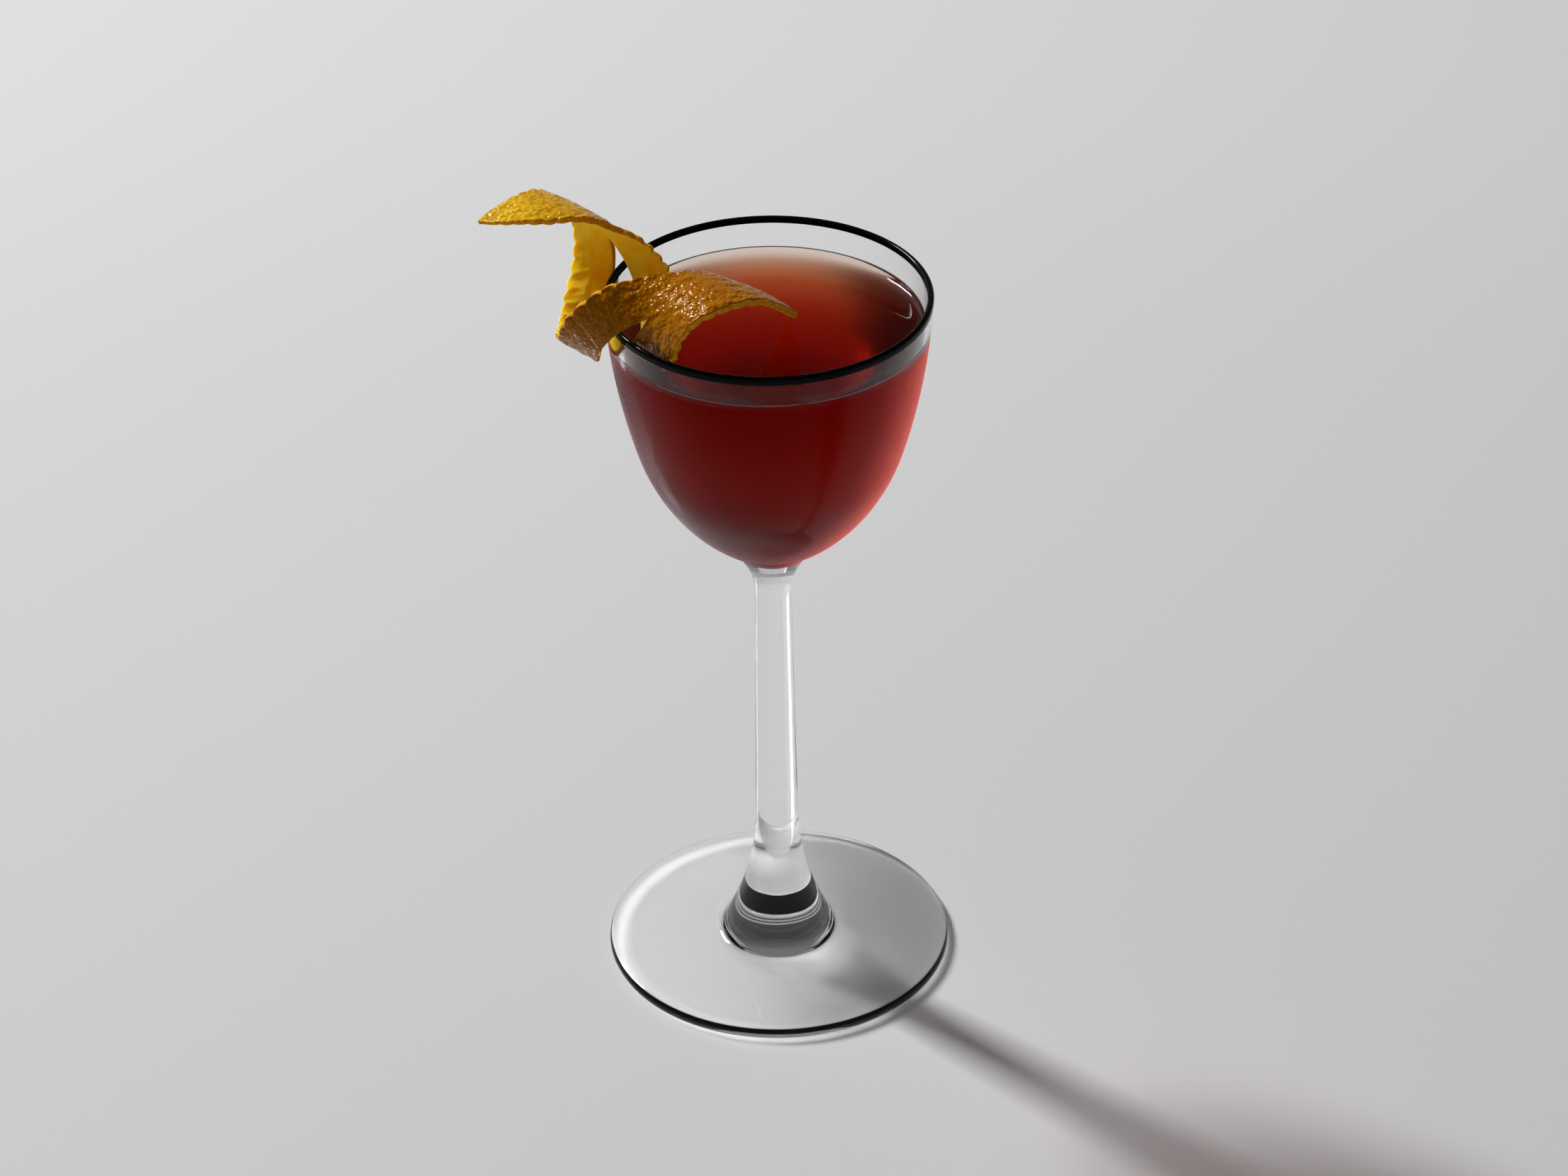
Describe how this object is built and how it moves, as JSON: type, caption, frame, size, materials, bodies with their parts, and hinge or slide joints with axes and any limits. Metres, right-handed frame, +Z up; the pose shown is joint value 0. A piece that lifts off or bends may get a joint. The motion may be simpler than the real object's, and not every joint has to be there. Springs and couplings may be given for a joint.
{
  "type": "boulevardier",
  "caption": "Deep red cocktail filled almost to the rim of a small stemmed bell-shaped glass, with a slit orange-peel twist hooked over the rim.",
  "frame": {"origin": "centre of the glass's foot, on the plane that it stands on", "axes": "+Z up along the stem, -X toward the peel on the rim, -Y toward the viewer"},
  "size_m": [0.0912, 0.071, 0.1724],
  "materials": {
    "glass": "clear, polished, with a thin black band at the rim",
    "drink": "clear deep red liquid",
    "orange_peel": "dimpled waxy skin outside, matt pith inside"
  },
  "bodies": {
    "root": {"glass": "glass", "drink": "drink", "orange_peel": "orange_peel"}
  },
  "joints": []
}
